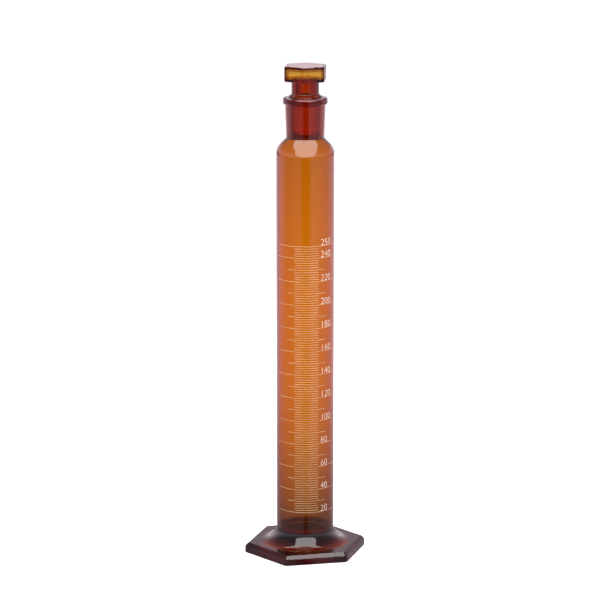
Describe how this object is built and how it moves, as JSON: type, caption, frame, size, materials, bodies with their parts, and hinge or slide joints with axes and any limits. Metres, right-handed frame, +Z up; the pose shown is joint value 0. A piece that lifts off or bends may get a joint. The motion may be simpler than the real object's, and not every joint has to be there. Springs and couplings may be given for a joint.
{
  "type": "stoppered measuring cylinder",
  "caption": "Tall amber glass measuring cylinder with a six-sided foot, a shoulder, a ground conical neck with a beaded rim, a hollow six-sided stopper and a white enamel volume scale.",
  "frame": {"origin": "centre of the foot's underside, on the tube's axis", "axes": "+Z up along the tube's axis; the middle of the scale faces -Y; a corner of the foot lies 9 degrees from +X towards +Y"},
  "size_m": [0.0888, 0.0842, 0.3577],
  "materials": {
    "amber_glass": "clear amber glass, fire-polished",
    "amber_foot_glass": "pressed amber glass, nearly opaque where thick",
    "white_enamel": "fired white enamel, satin"
  },
  "bodies": {
    "cylinder": {"foot": "amber_foot_glass", "cylinder_tube": "amber_glass", "neck_socket": "amber_glass", "ring_marks": "white_enamel"},
    "stopper": {"stopper": "amber_glass"}
  },
  "joints": [
    {"name": "stopper_lift", "type": "slide", "parent": "cylinder", "child": "stopper", "axis": [0, 0, 1], "range_m": [0, 0.06]}
  ]
}
